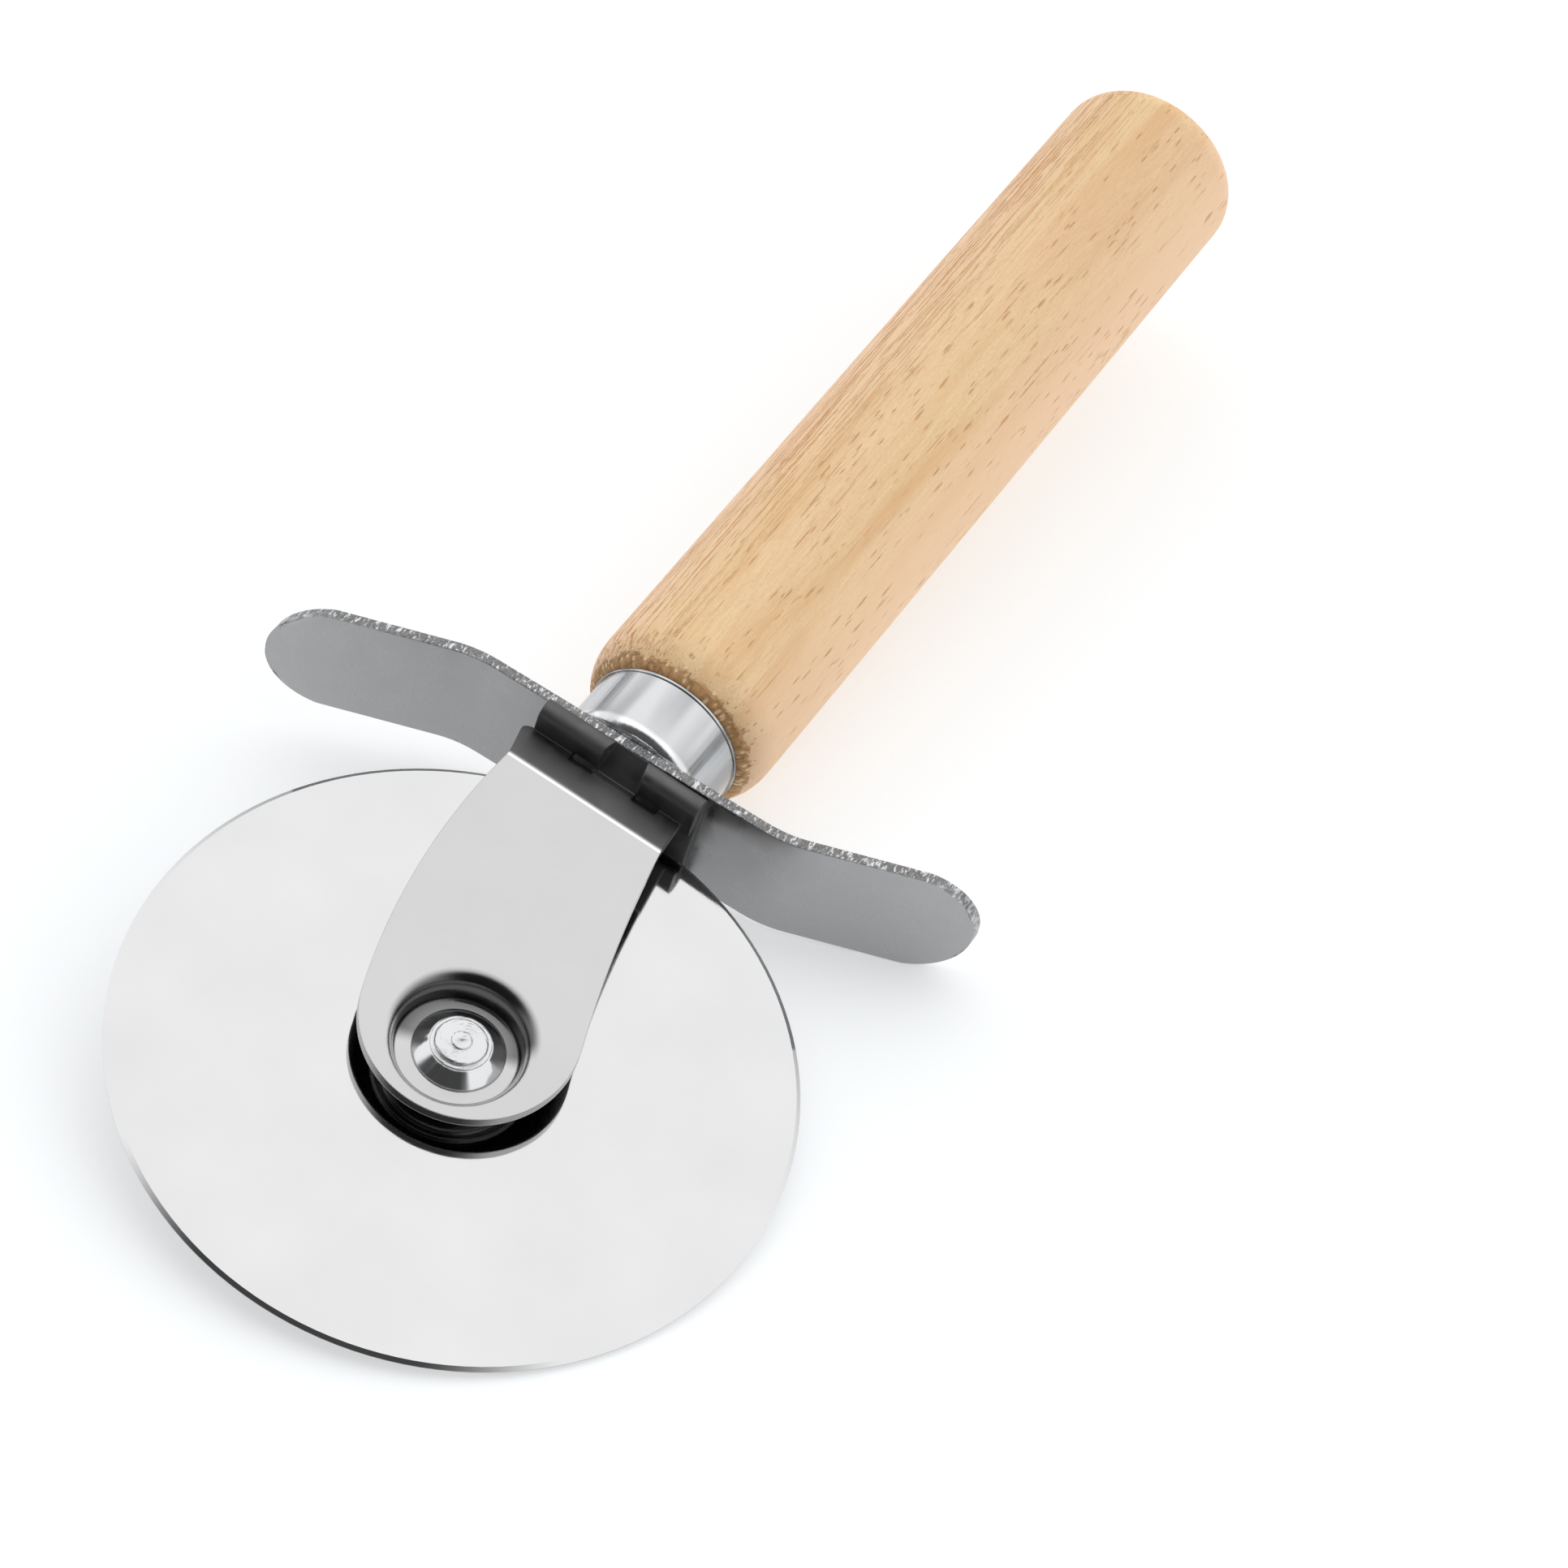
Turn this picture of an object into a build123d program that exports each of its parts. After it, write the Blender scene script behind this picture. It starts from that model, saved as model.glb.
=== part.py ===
from build123d import *
from math import atan2, cos, radians, sin, sqrt
import os

os.makedirs("parts", exist_ok=True)

# A hand-held cutter with a round blade. All sizes are in millimetres.
# The origin is the middle of the handle, on its axis. +X runs along the handle towards its butt,
# +Z is square to the blade, and the axle of the wheel lies to the -Y side of the handle's axis.

# Handle
handle_length = 130.6
handle_radius = 13.2
handle_nose_length = 5.6
handle_nose_drop = 3.0
handle_butt_round = 4.5
spigot_gap = 1.2

# Ferrule
ferrule_length = 9.95
ferrule_radius = 10.5
ferrule_wall = 0.7
ferrule_shoulder_round = 1.5
ferrule_lip_height = 0.2
ferrule_lip_length = 0.5
ferrule_lip_round = 0.15

# Finger guard
guard_thickness = 1.5
guard_width = 17.9
guard_flat_length = 40.4
guard_bend_radius = 16.3
guard_bend_angle = 20.3
guard_tip_run = 23.4
guard_tip_round = 7.6
guard_edge_round = 0.2
guard_turn_angle = 3.0

# Wheel
wheel_radius = 42.5
blade_thickness = 0.8
bevel_width = 0.55
edge_thickness = 0.15
wheel_to_guard = 46.05
axle_offset = 6.45

# Axle rivet, bush, washers and collars
rivet_radius = 2.0
rivet_flange_radius = 3.8
rivet_flange_height = 0.2
rivet_head_radius = 3.3
rivet_head_height = 0.45
rivet_head_round = 0.35
rivet_boss_radius = 1.25
rivet_boss_height = 0.2
bush_radius = 3.6
washer_thickness = 0.25
washer_radius = 5.3
collar_base_radius = 5.8
collar_top_radius = 3.9
collar_foot_height = 0.15
collar_height = 1.55

# Fork, whose reaches are measured from the blade's middle plane to the middle of the sheet
sheet_thickness = 1.4
yoke_width = 23.6
hem_gap = 0.45
hem_reach = 9.35
waist_reach = 5.15
shoulder_reach = 7.45
ear_tip_reach = 4.02
shoulder_length = 9.5
waist_bend_radius = 0.8
shoulder_bend_radius = 1.3
waist_shift = 1.5
waist_corner_round = 1.0
shoulder_width = 22.8
ear_end_radius = 13.7
ear_end_advance = 2.6
ear_end_shift = 0.5
ear_far_bow_radius = 90.0
ear_near_bow_radius = -180.0
dish_offset = 0.6
dish_floor_radius = 8.3
dish_rim_radius = 8.8
dish_floor_reach = 1.5
dish_floor_round = 1.2
dish_rim_round = 2.0
dish_underside_round = 0.6
window_width = 1.6
window_mid_radius = 6.75
window_span_angle = 54.0
window_angles = (88.0, -66.0)
slot_length = 3.6
slot_height = 1.0
slot_corner_round = 0.25
slot_depth = 1.7
web_width = 5.9
web_shift = 0.6
dart_crest_width = 4.5
dart_crest_angle = 50.0
dart_flank_angle = 12.0

# Tang
tang_radius = 2.9
tang_head_radius = 4.1
tang_head_height = 1.0
tang_head_round = 0.4
tang_depth = 48.0
tang_point_length = 6.0
tang_point_radius = 0.8
tang_barb_height = 0.35
tang_barb_pitch = 3.0
tang_barb_count = 9

# Fits and overruns
running_clearance = 0.05
thrust_clearance = 0.15
seat_clearance = 0.02
overrun = 2.0

# Stations along the handle's axis
handle_front_x = -handle_length / 2
handle_butt_x = handle_length / 2
guard_back_x = handle_front_x - ferrule_length
guard_mid_x = guard_back_x - guard_thickness / 2
guard_front_x = guard_back_x - guard_thickness
wheel_x = guard_front_x - wheel_to_guard
wheel_y = -axle_offset

# The wheel's axis, and the plane through it in which turned profiles are drawn
axle = Axis((wheel_x, wheel_y, 0), (0, 0, 1))
axle_section = Plane(origin=(wheel_x, wheel_y, 0), x_dir=(1, 0, 0), z_dir=(0, -1, 0))


def corner(sketch, *points):
    """The corners of a sketch that lie nearest to the given points."""
    return [sketch.vertices().sort_by_distance(point)[0] for point in points]


# Handle: turned wood with a long rounded nose, a stepped-down spigot, a bore for the tang and a
# rounded butt
ferrule_inner_radius = ferrule_radius - ferrule_wall
spigot_radius = ferrule_inner_radius - seat_clearance
ferrule_floor_x = guard_back_x + ferrule_wall
spigot_x = ferrule_floor_x + spigot_gap
nose_x = handle_front_x + handle_nose_length
nose_radius = handle_radius - handle_nose_drop
bore_radius = tang_radius + tang_barb_height + seat_clearance
bore_end_x = handle_front_x + tang_depth + seat_clearance

with BuildPart() as handle:
    with BuildSketch() as handle_profile:
        with BuildLine():
            EllipticalCenterArc((nose_x, nose_radius), handle_nose_length, handle_nose_drop, 90)
            Polyline(
                (nose_x, handle_radius),
                (handle_butt_x, handle_radius),
                (handle_butt_x, 0),
                (bore_end_x, 0),
                (bore_end_x, bore_radius),
                (spigot_x, bore_radius),
                (spigot_x, spigot_radius),
                (handle_front_x, spigot_radius),
                (handle_front_x, nose_radius),
            )
        make_face()
        fillet(corner(handle_profile, (handle_butt_x, handle_radius)), handle_butt_round)
    revolve(axis=Axis.X)
handle.part.label = "handle"
export_step(handle.part, "parts/handle.step")


# Ferrule: a drawn cup with a rounded shoulder at the guard and a small lip at the handle
shank_hole_radius = tang_radius + seat_clearance
lip_x = handle_front_x - ferrule_lip_length
lip_radius = ferrule_radius + ferrule_lip_height

with BuildPart() as ferrule:
    with BuildSketch() as cup_profile:
        with BuildLine():
            Polyline(
                (guard_back_x, shank_hole_radius),
                (guard_back_x, ferrule_radius),
                (lip_x, ferrule_radius),
                (lip_x, lip_radius),
                (handle_front_x, lip_radius),
                (handle_front_x, ferrule_inner_radius),
                (ferrule_floor_x, ferrule_inner_radius),
                (ferrule_floor_x, shank_hole_radius),
                close=True,
            )
        make_face()
        fillet(corner(cup_profile, (guard_back_x, ferrule_radius)), ferrule_shoulder_round)
        inner_round = ferrule_shoulder_round - ferrule_wall
        fillet(corner(cup_profile, (ferrule_floor_x, ferrule_inner_radius)), inner_round)
        fillet(corner(cup_profile, (lip_x, lip_radius), (handle_front_x, lip_radius)), ferrule_lip_round)
    revolve(axis=Axis.X)
ferrule.part.label = "ferrule"
export_step(ferrule.part, "parts/ferrule.step")


# Finger guard: a strip with a flat middle and wings that bend away, the +Y one towards the blade
# and the -Y one towards the handle. It sits on the tang turned a little about the handle's axis.
turn = radians(guard_turn_angle)
guard_middle = (guard_mid_x, 0, 0)
broad_share = cos(radians(2 * guard_bend_angle))
guard_strip_plane = Plane(origin=guard_middle, x_dir=(1, 0, 0), z_dir=(0, sin(turn), cos(turn)))
guard_face_plane = Plane(origin=guard_middle, x_dir=(0, cos(turn), -sin(turn)), z_dir=(1, 0, 0))
bend = radians(guard_bend_angle)
bend_tangent = guard_bend_radius * sin(bend) / (1 + cos(bend))
bend_y = guard_flat_length / 2 + bend_tangent
wing_tip_x = -(bend_tangent + guard_tip_run) * sin(bend)
wing_tip_y = bend_y + (bend_tangent + guard_tip_run) * cos(bend)

with BuildPart() as finger_guard:
    with BuildSketch(guard_strip_plane):
        with BuildLine() as strip_line:
            FilletPolyline(
                (-wing_tip_x, -wing_tip_y),
                (0, -bend_y),
                (0, bend_y),
                (wing_tip_x, wing_tip_y),
                radius=guard_bend_radius,
            )
        trace(line_width=guard_thickness)
    extrude(amount=guard_width / 2 + overrun, both=True)
    with BuildSketch(guard_face_plane):
        RectangleRounded(2 * wing_tip_y, guard_width, guard_tip_round)
    extrude(amount=guard_bend_radius + guard_tip_run, both=True, mode=Mode.INTERSECT)
    with BuildSketch(guard_face_plane):
        Circle(shank_hole_radius)
    extrude(amount=guard_thickness, both=True, mode=Mode.SUBTRACT)
    broad_faces = finger_guard.faces().filter_by(lambda face: abs(face.normal_at().X) > broad_share)
    borders = [edge for face in broad_faces for edge in face.outer_wire().edges()]
    fillet([edge for edge in borders if borders.count(edge) == 1], guard_edge_round)
finger_guard.part.label = "finger_guard"
export_step(finger_guard.part, "parts/finger_guard.step")


# Blade: a flat disc with a narrow bevel ground on both sides of its rim
half_blade = blade_thickness / 2
half_edge = edge_thickness / 2
bevel_radius = wheel_radius - bevel_width
bush_seat_radius = bush_radius + seat_clearance

with BuildPart() as blade:
    with BuildSketch(axle_section):
        with BuildLine():
            Polyline(
                (bush_seat_radius, -half_blade),
                (bevel_radius, -half_blade),
                (wheel_radius, -half_edge),
                (wheel_radius, half_edge),
                (bevel_radius, half_blade),
                (bush_seat_radius, half_blade),
                close=True,
            )
        make_face()
    revolve(axis=axle)
blade.part.label = "blade"
export_step(blade.part, "parts/blade.step")


# Bush: pressed into the blade, it turns on the rivet between the floors of the two dishes
half_sheet = sheet_thickness / 2
dish_underside = dish_floor_reach - half_sheet
half_bush = dish_underside - thrust_clearance
bush_bore_radius = rivet_radius + running_clearance

with BuildPart() as wheel_bush:
    with BuildSketch(Plane.XY.offset(-half_bush).move(Location((wheel_x, wheel_y, 0)))):
        Circle(bush_radius)
        Circle(bush_bore_radius, mode=Mode.SUBTRACT)
    extrude(amount=2 * half_bush)
wheel_bush.part.label = "wheel_bush"
export_step(wheel_bush.part, "parts/wheel_bush.step")


# Thrust washers: one on each face of the blade, round the bush
with BuildPart() as front_washer:
    with BuildSketch(Plane(origin=(wheel_x, wheel_y, half_blade))):
        Circle(washer_radius)
        Circle(bush_seat_radius, mode=Mode.SUBTRACT)
    extrude(amount=washer_thickness)
front_washer.part.label = "front_washer"
export_step(front_washer.part, "parts/front_washer.step")

with BuildPart() as rear_washer:
    mirror(front_washer.part, about=Plane.XY)
rear_washer.part.label = "rear_washer"
export_step(rear_washer.part, "parts/rear_washer.step")


# Collars: a cone on the floor of each dish, under the head of the rivet
dish_floor_z = dish_floor_reach + half_sheet
collar_top_z = dish_floor_z + collar_height
rivet_hole_radius = rivet_radius + seat_clearance

with BuildPart() as front_collar:
    with BuildSketch(axle_section):
        with BuildLine():
            Polyline(
                (rivet_hole_radius, dish_floor_z),
                (collar_base_radius, dish_floor_z),
                (collar_base_radius, dish_floor_z + collar_foot_height),
                (collar_top_radius, collar_top_z),
                (rivet_hole_radius, collar_top_z),
                close=True,
            )
        make_face()
    revolve(axis=axle)
front_collar.part.label = "front_collar"
export_step(front_collar.part, "parts/front_collar.step")

with BuildPart() as rear_collar:
    mirror(front_collar.part, about=Plane.XY)
rear_collar.part.label = "rear_collar"
export_step(rear_collar.part, "parts/rear_collar.step")


# Axle rivet: a shank with a flanged button head at each end, and a raised centre on the front one
flange_top_z = collar_top_z + rivet_flange_height
head_top_z = flange_top_z + rivet_head_height
boss_top_z = head_top_z + rivet_boss_height

with BuildPart() as axle_rivet:
    with BuildSketch(axle_section) as rivet_profile:
        with BuildLine():
            Polyline(
                (0, -head_top_z),
                (rivet_head_radius, -head_top_z),
                (rivet_head_radius, -flange_top_z),
                (rivet_flange_radius, -flange_top_z),
                (rivet_flange_radius, -collar_top_z),
                (rivet_radius, -collar_top_z),
                (rivet_radius, collar_top_z),
                (rivet_flange_radius, collar_top_z),
                (rivet_flange_radius, flange_top_z),
                (rivet_head_radius, flange_top_z),
                (rivet_head_radius, head_top_z),
                (rivet_boss_radius, head_top_z),
                (rivet_boss_radius, boss_top_z),
                (0, boss_top_z),
                close=True,
            )
        make_face()
        head_corners = corner(
            rivet_profile,
            (rivet_head_radius, -head_top_z),
            (rivet_head_radius, head_top_z),
        )
        fillet(head_corners, rivet_head_round)
    revolve(axis=axle)
axle_rivet.part.label = "axle_rivet"
export_step(axle_rivet.part, "parts/axle_rivet.step")


# Fork: one strip of sheet. From the guard it rises, folds back on itself as a hem, bends at the
# waist, opens to the shoulder and closes again along the ear. The front half is made first.
half_yoke = yoke_width / 2
hem_radius = (sheet_thickness + hem_gap) / 2
web_x = guard_front_x - half_sheet
hem_wall_x = web_x - 2 * hem_radius
hem_front_x = hem_wall_x - half_sheet
hem_middle_x = (web_x + hem_wall_x) / 2
hem_centre_z = hem_reach - hem_radius
shoulder_x = guard_front_x - shoulder_length
ear_end_x = wheel_x + ear_end_advance
ear_end_y = wheel_y + ear_end_shift
ear_tip_x = ear_end_x - ear_end_radius
ear_slope = (shoulder_reach - ear_tip_reach) / (shoulder_x - ear_tip_x)
ear_tilt = atan2(shoulder_reach - ear_tip_reach, shoulder_x - ear_tip_x)
ear_run_x = ear_tip_x - overrun
ear_run_z = ear_tip_reach - overrun * ear_slope

# The ears lean: their middle line runs straight from the waist to the round end's centre
lean_slope = (waist_shift - ear_end_y) / (hem_front_x - ear_end_x)
shoulder_y = ear_end_y + lean_slope * (shoulder_x - ear_end_x)
far_corner = (shoulder_x, shoulder_y + shoulder_width / 2)
near_corner = (shoulder_x, shoulder_y - shoulder_width / 2)


def rim_edges(builder):
    """The closed, slanting edges where the dish meets the faces of the ear, the shortest first."""
    closed = builder.edges().filter_by(lambda edge: edge.is_closed)
    return closed.filter_by(GeomType.ELLIPSE).sort_by(SortBy.LENGTH)


def bow(top_corner, bow_radius, side):
    """The middle and the end of an arc from a top corner of the ear, tangent to its round end."""
    top = Vector(*top_corner)
    end_centre = Vector(ear_end_x, ear_end_y)
    chord = end_centre - top
    along = (bow_radius**2 - (bow_radius - ear_end_radius) ** 2 + chord.length**2) / (2 * chord.length)
    across = sqrt(bow_radius**2 - along**2)
    direction = chord.normalized()
    centre = top + direction * along + Vector(-direction.Y, direction.X) * across * side
    end = end_centre + (end_centre - centre) * (ear_end_radius / (bow_radius - ear_end_radius))
    middle = centre + ((top - centre) + (end - centre)).normalized() * abs(bow_radius)
    return middle, end


far_middle, far_end = bow(far_corner, ear_far_bow_radius, 1)
near_middle, near_end = bow(near_corner, ear_near_bow_radius, 1)

# Slots and a pressed dart stiffen the waist. The dart's ramp climbs from the waist's corner over the
# crest of the hem, which is closed up solid behind it.
waist_corner_z = waist_reach + half_sheet
hem_crest_radius = hem_radius + half_sheet
dart_end_x = hem_middle_x + hem_crest_radius * sin(radians(dart_crest_angle))
dart_end_z = hem_centre_z + hem_crest_radius * cos(radians(dart_crest_angle))
dart_angle = atan2(dart_end_z - waist_corner_z, dart_end_x - hem_front_x)
dart_length = (dart_end_z - waist_corner_z) / sin(dart_angle)
dart_start = waist_bend_radius - half_sheet
waist_corner = (hem_front_x, -web_shift, waist_corner_z)
dart_plane = Plane(origin=waist_corner, x_dir=(0, 1, 0), z_dir=(-sin(dart_angle), 0, cos(dart_angle)))
slot_plane = Plane(origin=waist_corner, x_dir=(0, 1, 0), z_dir=(-1, 0, 1))
slot_y = (web_width + slot_length) / 2
crush_width = web_width + hem_gap
crush_z = waist_corner_z + half_sheet

# The dish is drawn down towards the blade, its axis set a little towards the tip
dish_axis = Axis((wheel_x - dish_offset, wheel_y, 0), (0, 0, 1))
dish_section = Plane(origin=(wheel_x - dish_offset, wheel_y, 0), x_dir=(1, 0, 0), z_dir=(0, -1, 0))
ear_face = Plane(
    origin=(shoulder_x, 0, shoulder_reach + half_sheet / cos(ear_tilt)),
    x_dir=(cos(ear_tilt), 0, sin(ear_tilt)),
    z_dir=(-sin(ear_tilt), 0, cos(ear_tilt)),
)
dish_face_z = ear_tip_reach + ear_slope * (wheel_x - ear_tip_x) + half_sheet
dish_draft = (dish_rim_radius - dish_floor_radius) / (dish_face_z - dish_floor_reach)
dish_top_z = hem_reach + overrun
dish_top_radius = dish_floor_radius + dish_draft * (dish_top_z - dish_floor_reach)

with BuildPart() as dish:
    with BuildSketch(dish_section):
        with BuildLine():
            FilletPolyline(
                (0, dish_floor_reach),
                (dish_floor_radius, dish_floor_reach),
                (dish_top_radius, dish_top_z),
                radius=dish_floor_round,
            )
        trace(line_width=sheet_thickness)
    revolve(axis=dish_axis)
    split(bisect_by=ear_face, keep=Keep.BOTTOM)

with BuildPart() as dish_core:
    with BuildSketch(dish_section):
        with BuildLine():
            Polyline(
                (0, dish_floor_reach),
                (dish_floor_radius, dish_floor_reach),
                (dish_top_radius, dish_top_z),
                (0, dish_top_z),
                close=True,
            )
        make_face()
    revolve(axis=dish_axis)

with BuildPart() as half_fork:
    with BuildSketch(Plane.XZ):
        with BuildLine():
            Line((web_x, 0), (web_x, hem_centre_z))
            ThreePointArc(
                (web_x, hem_centre_z),
                (hem_middle_x, hem_reach),
                (hem_wall_x, hem_centre_z),
            )
            FilletPolyline(
                (hem_wall_x, hem_centre_z),
                (hem_wall_x, waist_reach),
                (shoulder_x, shoulder_reach),
                (ear_run_x, ear_run_z),
                radius=(waist_bend_radius, shoulder_bend_radius),
            )
        trace(line_width=sheet_thickness)
    extrude(amount=yoke_width + axle_offset, both=True)
    split(bisect_by=Plane.XY, keep=Keep.TOP)
    with BuildSketch() as plan:
        with BuildLine():
            Polyline(
                near_corner,
                (hem_front_x, waist_shift - half_yoke),
                (hem_front_x, -half_yoke),
                (guard_front_x, -half_yoke),
                (guard_front_x, half_yoke),
                (hem_front_x, half_yoke),
                (hem_front_x, waist_shift + half_yoke),
                far_corner,
            )
            ThreePointArc(far_corner, far_middle, far_end)
            ThreePointArc(far_end, (ear_tip_x, ear_end_y), near_end)
            ThreePointArc(near_end, near_middle, near_corner)
        make_face()
        fillet(corner(plan, (hem_front_x, waist_shift + half_yoke)), waist_corner_round)
    extrude(amount=dish_top_z, mode=Mode.INTERSECT)
    add(dish_core.part, mode=Mode.SUBTRACT)
    add(dish.part)
    fillet(rim_edges(half_fork)[-1], dish_underside_round)
    fillet(rim_edges(half_fork)[0], dish_rim_round)
    with BuildSketch(Plane.XY.offset(crush_z)):
        with Locations((hem_middle_x, -web_shift)):
            Rectangle(2 * hem_radius, crush_width)
    extrude(amount=hem_centre_z - crush_z)
    with BuildSketch(dart_plane):
        with BuildLine():
            Polyline(
                (-web_width / 2, -dart_start),
                (web_width / 2, -dart_start),
                (dart_crest_width / 2, -dart_length - half_sheet),
                (-dart_crest_width / 2, -dart_length - half_sheet),
                close=True,
            )
        make_face()
    extrude(amount=2 * sheet_thickness, taper=-dart_flank_angle, mode=Mode.SUBTRACT)
    with BuildSketch(slot_plane):
        with Locations((-slot_y, 0), (slot_y, 0)):
            RectangleRounded(slot_length, slot_height, slot_corner_round)
    extrude(amount=slot_depth, both=True, mode=Mode.SUBTRACT)
    with BuildSketch(Plane(origin=(wheel_x, wheel_y, 0))):
        for angle in window_angles:
            with Locations(Rotation(0, 0, angle)):
                SlotArc(
                    CenterArc((0, 0), window_mid_radius, -window_span_angle / 2, window_span_angle),
                    window_width,
                )
        Circle(rivet_hole_radius)
    extrude(amount=dish_floor_z + dish_floor_round, mode=Mode.SUBTRACT)

with BuildPart() as fork:
    add(half_fork.part)
    mirror(half_fork.part, about=Plane.XY)
    with BuildSketch(Plane.YZ.offset(web_x)):
        Circle(shank_hole_radius)
    extrude(amount=sheet_thickness, both=True, mode=Mode.SUBTRACT)
fork.part.label = "fork"
export_step(fork.part, "parts/fork.step")


# Tang: a barbed spike whose head bears on the inside of the fork's web. It runs through the web,
# the finger guard and the ferrule into the bore of the handle, and holds them together.
tang_face_x = web_x - half_sheet
tang_head_x = tang_face_x - tang_head_height
tang_end_x = handle_front_x + tang_depth
point_x = tang_end_x - tang_point_length
barb_radius = tang_radius + tang_barb_height
first_barb_x = point_x - tang_barb_count * tang_barb_pitch

with BuildPart() as tang:
    with BuildSketch(Plane.XZ) as tang_profile:
        with BuildLine():
            barbs = []
            for index in range(tang_barb_count):
                barb_x = first_barb_x + index * tang_barb_pitch
                barbs += [(barb_x, tang_radius), (barb_x, barb_radius)]
            Polyline(
                (tang_head_x, 0),
                (tang_head_x, tang_head_radius),
                (tang_face_x, tang_head_radius),
                (tang_face_x, tang_radius),
                *barbs,
                (point_x, tang_radius),
                (tang_end_x, tang_point_radius),
                (tang_end_x, 0),
                close=True,
            )
        make_face()
        fillet(corner(tang_profile, (tang_head_x, tang_head_radius)), tang_head_round)
    revolve(axis=Axis.X)
tang.part.label = "tang"
export_step(tang.part, "parts/tang.step")
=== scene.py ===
from math import cos, pi, radians, sin

import bmesh
import bpy
from mathutils import Euler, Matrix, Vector


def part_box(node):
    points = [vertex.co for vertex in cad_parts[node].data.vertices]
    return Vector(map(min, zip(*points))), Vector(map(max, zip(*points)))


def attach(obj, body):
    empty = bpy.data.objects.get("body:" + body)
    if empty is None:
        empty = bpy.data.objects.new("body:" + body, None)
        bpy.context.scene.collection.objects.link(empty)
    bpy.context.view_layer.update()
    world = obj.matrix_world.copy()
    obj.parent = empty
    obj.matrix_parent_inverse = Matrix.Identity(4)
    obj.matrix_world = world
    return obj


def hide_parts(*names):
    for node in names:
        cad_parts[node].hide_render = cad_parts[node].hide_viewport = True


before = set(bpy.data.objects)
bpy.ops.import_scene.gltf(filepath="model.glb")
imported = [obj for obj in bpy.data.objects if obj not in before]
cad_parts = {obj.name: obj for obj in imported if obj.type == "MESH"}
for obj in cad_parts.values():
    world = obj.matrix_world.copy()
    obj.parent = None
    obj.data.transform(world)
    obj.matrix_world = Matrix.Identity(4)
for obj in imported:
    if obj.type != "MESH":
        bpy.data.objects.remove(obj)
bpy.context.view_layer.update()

bl_info = {
    "name": "Round Blade Cutter",
    "version": (1, 0, 0),
    "blender": (4, 5, 0),
    "location": "View3D > Sidebar > Cutter",
    "description": "Finishes, floor, light and camera for a hand cutter with a round blade",
    "category": "Material",
}

# Textures are laid out in millimetres
PER_METRE = 1000.0

WHITE = (1.0, 1.0, 1.0, 1.0)

# Places that the finishes are worked out from, in millimetres
BLADE_LOW, BLADE_HIGH = (corner * PER_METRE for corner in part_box("blade"))
AXLE = (BLADE_LOW + BLADE_HIGH) / 2
GUARD_LOW, GUARD_HIGH = (corner * PER_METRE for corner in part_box("finger_guard"))
FERRULE_LOW, FERRULE_HIGH = (corner * PER_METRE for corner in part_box("ferrule"))
YOKE_START = FERRULE_LOW.x - 11.0

# Where a painted shade begins and ends, in millimetres from the axle; DISH_BOWL is where the dishes' bump
# begins and ends
BLADE_MIDDLE_SHADE = (8.5, 10.0)
DISH_FLOOR_SHADE = (5.8, 8.0)
DISH_WALL_SHADE = (9.6, 8.3)
DISH_BOWL = (5.0, 9.4)
INSIDE_SHADE_NEAR_YOKE = (11.0, 19.0)

# The direction from the axle in which the dishes have their painted shade
DISH_SHADED_SIDE = radians(22.0)

# The yoke's edge, where its painted shade and rougher finish begin, and the middle of the painted
# highlight along it, in millimetres behind the yoke's start
YOKE_EDGE = (-0.2, 0.2)
SHOULDER_HIGHLIGHT = -0.35

# Distances from the painted highlight's middle at which it has faded and is full, in millimetres
SHOULDER_HIGHLIGHT_REACH = (0.25, 0.1)

# Where the painted highlight at the ferrule's front edge ends, in millimetres behind the ferrule's front
FERRULE_LIP_HIGHLIGHT = (1.2, 1.8)

# The share of the tent's opening that is fully dark
OPENING_CORE = 0.55

# The guard's blank, in millimetres: half-round tips on a strip turned a little about the handle's axis
GUARD_TURN = radians(3.0)
GUARD_TIP_RADIUS = 9.0
GUARD_TIP_STEPS = 48
GUARD_TRIM = 0.25

# Corners of the packed guard closer than this are one corner, in millimetres
GUARD_SEAM = 0.0001

# Angle between faces from which the blanked guard has a sharp edge
GUARD_SHARP = radians(35.0)


# Materials


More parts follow.
